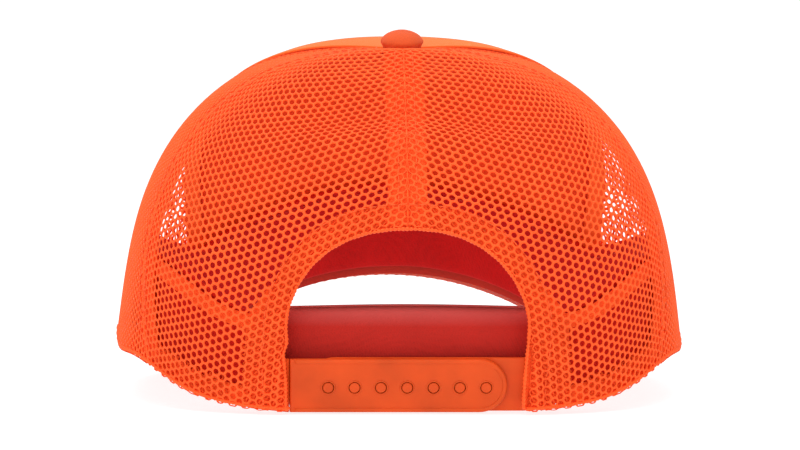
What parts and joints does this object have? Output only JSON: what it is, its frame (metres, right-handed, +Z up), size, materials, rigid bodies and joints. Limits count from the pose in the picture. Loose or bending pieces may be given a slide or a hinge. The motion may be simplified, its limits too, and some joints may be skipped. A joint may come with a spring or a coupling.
{
  "type": "trucker cap",
  "caption": "Curved-brim cap with a foam-backed front, see-through net sides and back, a covered top button and a peg strap under a rear arch.",
  "frame": {"origin": "on the table under the centre of the cap's box, with the cap resting on its rear hem and the low sides of its brim", "axes": "+Y towards the rear closure with the brim at -Y, +Z up from the table, +X towards the wearer's left"},
  "size_m": [0.1974, 0.2399, 0.1263],
  "materials": {
    "front_cloth": "smooth knit laminated to foam",
    "foam": "open cell foam",
    "mesh": "rounded honeycomb net",
    "tape": "woven seam tape",
    "facing": "doubled net hem",
    "sweatband_cloth": "matte twill",
    "padding": "felt",
    "board": "moulded sheet",
    "brim_cloth": "twill",
    "button_cloth": "twill",
    "button_metal": "pressed",
    "strap_plastic": "moulded, faintly translucent"
  },
  "bodies": {
    "crown": {"front_face_fabric": "front_cloth", "front_foam": "foam", "mesh_side_left": "mesh", "mesh_side_right": "mesh", "mesh_back_left": "mesh", "mesh_back_right": "mesh", "back_seam_tape": "tape", "mid_seam_tape_left": "tape", "mid_seam_tape_right": "tape", "front_seam_tape_left": "tape", "front_seam_tape_right": "tape", "arch_facing": "facing", "hem_facing_left": "facing", "hem_facing_right": "facing", "sweatband": "sweatband_cloth", "sweatband_padding": "padding", "sweatband_rear": "sweatband_cloth", "brim_board": "board", "brim_top_cover": "brim_cloth", "brim_under_cover": "brim_cloth", "button_cover": "button_cloth", "button_shell": "button_metal", "button_rivet": "button_metal", "button_washer": "button_metal", "strap_outer_root": "strap_plastic", "strap_inner": "strap_plastic"},
    "outer_strap": {"strap_outer": "strap_plastic"}
  },
  "joints": [
    {"name": "closure_peel", "type": "hinge", "parent": "crown", "child": "outer_strap", "pos_m": [0.0382, 0.11346, 0.00979], "axis": [0, -0.21, -0.9777], "range_deg": [0, 75], "stiffness_Nm_per_rad": 0.02}
  ]
}
